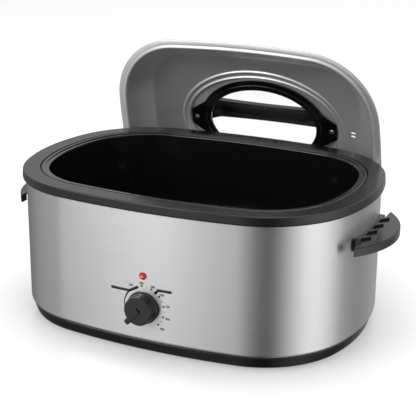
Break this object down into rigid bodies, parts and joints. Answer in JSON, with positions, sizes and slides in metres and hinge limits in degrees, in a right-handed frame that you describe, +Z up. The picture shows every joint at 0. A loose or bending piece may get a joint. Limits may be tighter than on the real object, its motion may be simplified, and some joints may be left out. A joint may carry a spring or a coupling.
{
  "type": "electric roaster oven",
  "caption": "Oval electric roaster oven: steel body with lift-out pan and rack, one heat knob, and a lift-off domed lid with a window, stood up at the back.",
  "frame": {"origin": "on the floor, under the middle of the bounding box with the lid stood up behind", "axes": "+Z up; +X to the right along the length, seen from the knob's side; the knob faces -Y"},
  "size_m": [0.5938, 0.4924, 0.3842],
  "materials": {
    "stainless": "horizontally brushed",
    "black_plastic": "moulded, fine satin",
    "knob_plastic": "moulded, low gloss",
    "painted_lid": "satin grey metallic paint",
    "bezel_plastic": "moulded, satin",
    "enamel": "black porcelain enamel",
    "aluminised_steel": "dull rolled",
    "galvanised": "galvanised",
    "chrome_wire": "chrome plated",
    "fastener_steel": "zinc plated",
    "clear_glass": "clear tempered",
    "silicone": "moulded",
    "foot_rubber": "moulded",
    "red_lens": "translucent red",
    "mica_band": "mica board with ribbon",
    "glass_fibre": "loose glass-fibre mat",
    "phenolic": "moulded phenolic",
    "ceramic_white": "unglazed",
    "lead_sleeve": "braided glass sleeve"
  },
  "bodies": {
    "base": {"base_skirt": "black_plastic", "bottom_cover": "galvanised", "feet": "foot_rubber", "foot_screws": "fastener_steel", "outer_shell": "stainless", "top_rim": "black_plastic", "liner": "aluminised_steel", "heating_band": "mica_band", "element_clips": "aluminised_steel", "insulation_blanket": "glass_fibre", "thermostat_body": "phenolic", "thermostat_bracket": "galvanised", "thermal_cutout": "ceramic_white", "indicator_lens": "red_lens", "indicator_lamp": "clear_glass", "power_gland": "black_plastic", "terminal_block": "ceramic_white", "internal_leads": "lead_sleeve", "handle_right": "black_plastic", "handle_left": "black_plastic", "handle_bracket_right": "black_plastic", "handle_bracket_left": "black_plastic", "handle_screws": "fastener_steel", "lid_rest_right": "black_plastic", "lid_rest_left": "black_plastic", "lid_rest_screws": "fastener_steel"},
    "knob": {"control_knob": "knob_plastic", "knob_shaft": "fastener_steel"},
    "pan": {"roasting_pan": "enamel"},
    "rack": {"roasting_rack": "chrome_wire", "rack_cross_wires": "chrome_wire"},
    "lid": {"lid_shell": "painted_lid", "lid_glass": "clear_glass", "glass_seal": "silicone", "window_bezel": "bezel_plastic", "lid_handle": "black_plastic", "lid_handle_screws": "fastener_steel"}
  },
  "joints": [
    {"name": "knob_turn", "type": "hinge", "parent": "base", "child": "knob", "pos_m": [0, -0.22462, 0.0707], "axis": [0, 1, 0], "range_deg": [0, 270]},
    {"name": "pan_lift", "type": "slide", "parent": "base", "child": "pan", "axis": [0, 0, 1], "range_m": [0, 0.085]},
    {"name": "rack_lift", "type": "slide", "parent": "pan", "child": "rack", "axis": [0, 0, 1], "range_m": [0, 0.2]},
    {"name": "lid_lift", "type": "slide", "parent": "base", "child": "lid", "axis": [0, 0.2588, 0.9659], "range_m": [0, 0.25]}
  ]
}
